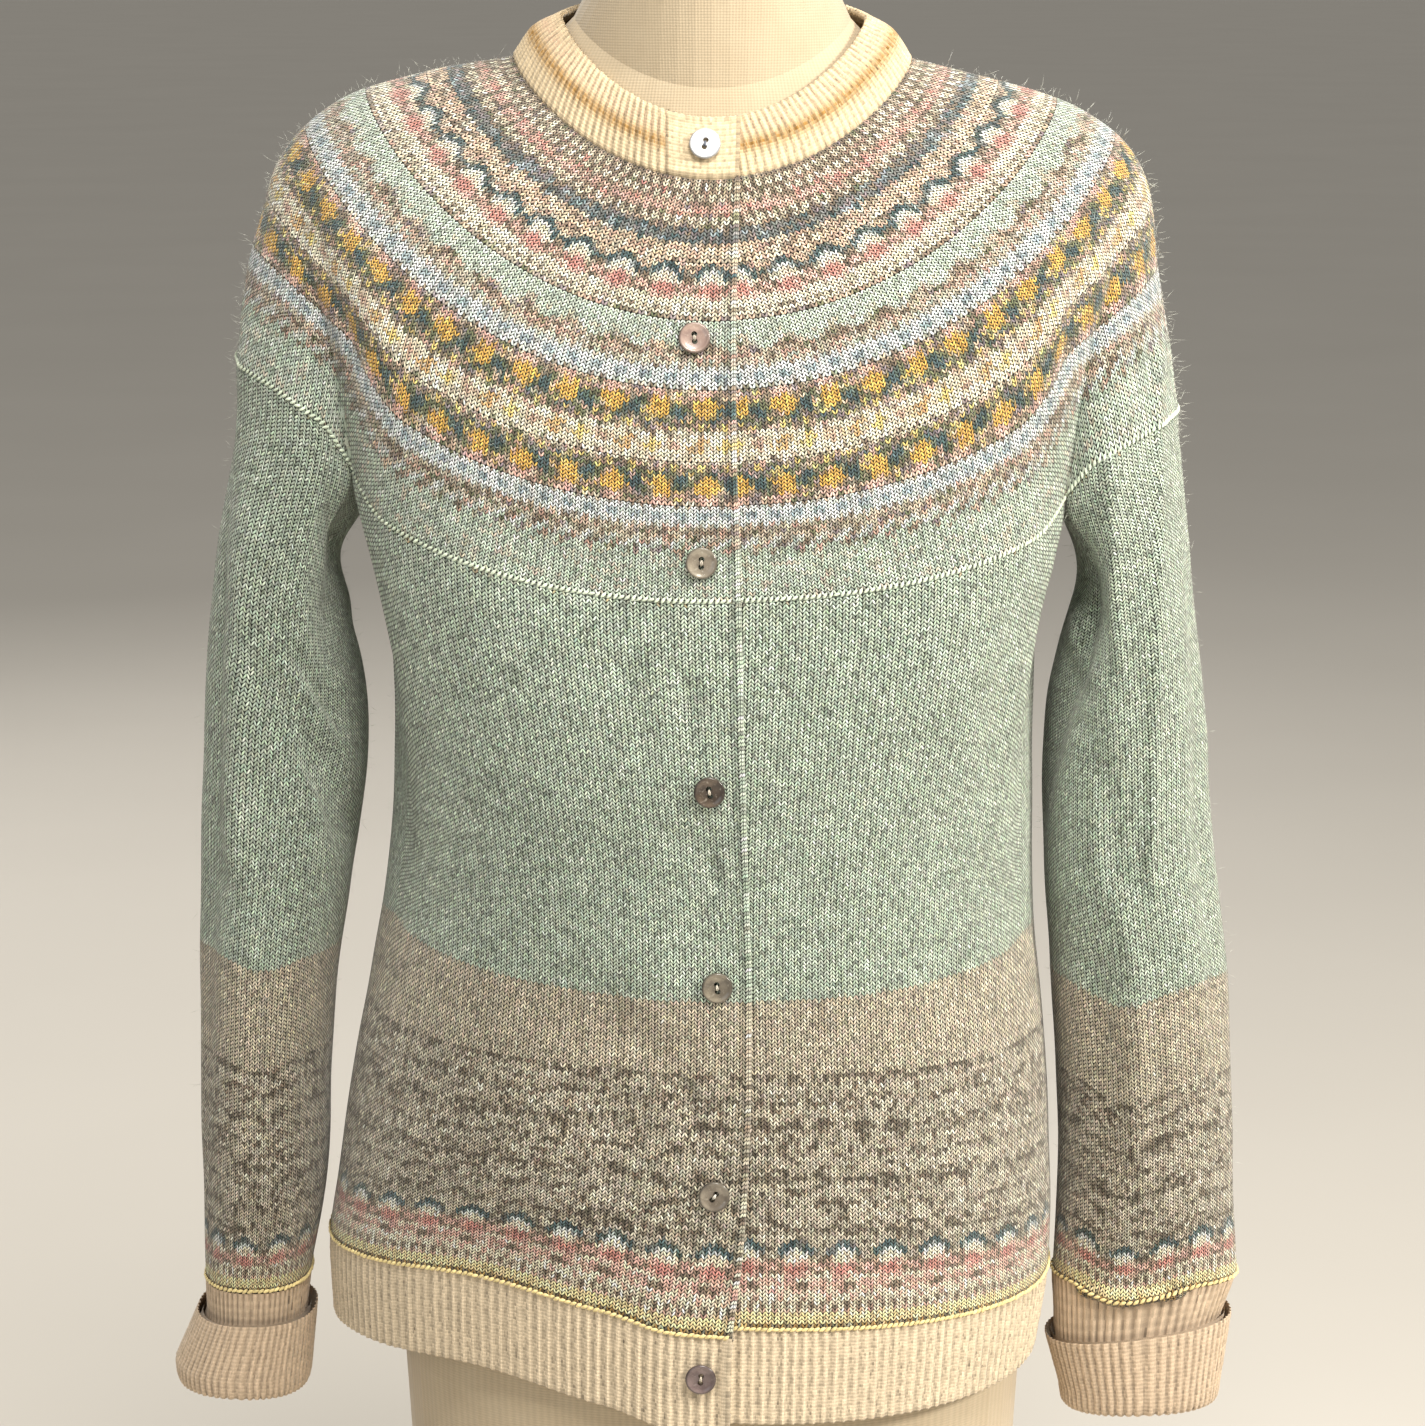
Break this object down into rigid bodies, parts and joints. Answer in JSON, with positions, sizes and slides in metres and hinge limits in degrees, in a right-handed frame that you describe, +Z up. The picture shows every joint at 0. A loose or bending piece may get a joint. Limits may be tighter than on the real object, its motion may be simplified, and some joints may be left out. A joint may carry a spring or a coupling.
{
  "type": "nordic cardigan on a limbless dress form",
  "caption": "Round-yoke colour-patterned knit cardigan, buttoned up the front, with turned-back ribbed cuffs, worn by a limbless linen dress form on a round stand.",
  "frame": {"origin": "on the floor, at the middle of the underside of the stand's base", "axes": "+Z up; the garment's front faces -Y; its wearer's right side is at -X"},
  "size_m": [0.49, 0.26, 0.929],
  "materials": {
    "body_knit": "fine heathered plain knit, matt and slightly fuzzy",
    "yoke_knit": "fine colour-patterned knit, matt and slightly fuzzy",
    "sleeve_knit": "fine heathered plain knit with patterned lower end, matt",
    "hem_ribbing": "fine cream ribbing, matt",
    "cuff_ribbing": "fine cream ribbing, matt",
    "neck_ribbing": "fine cream ribbing with one gold stripe, matt",
    "shell": "polished shell, soft sheen",
    "linen": "natural linen cover, matt",
    "stand_paint": "pale satin paint"
  },
  "bodies": {
    "root": {"front_right": "body_knit", "front_left": "body_knit", "back": "body_knit", "hem_rib_right": "hem_ribbing", "hem_rib_left": "hem_ribbing", "hem_rib_back": "hem_ribbing", "yoke": "yoke_knit", "sleeve_right": "sleeve_knit", "sleeve_left": "sleeve_knit", "cuff_right": "cuff_ribbing", "cuff_left": "cuff_ribbing", "neckband": "neck_ribbing", "neck_tab": "neck_ribbing", "button_1": "shell", "button_2": "shell", "button_3": "shell", "button_4": "shell", "button_5": "shell", "button_6": "shell", "button_7": "shell", "form_torso": "linen", "form_socket": "stand_paint", "form_pole": "stand_paint", "form_base": "stand_paint"}
  },
  "joints": []
}
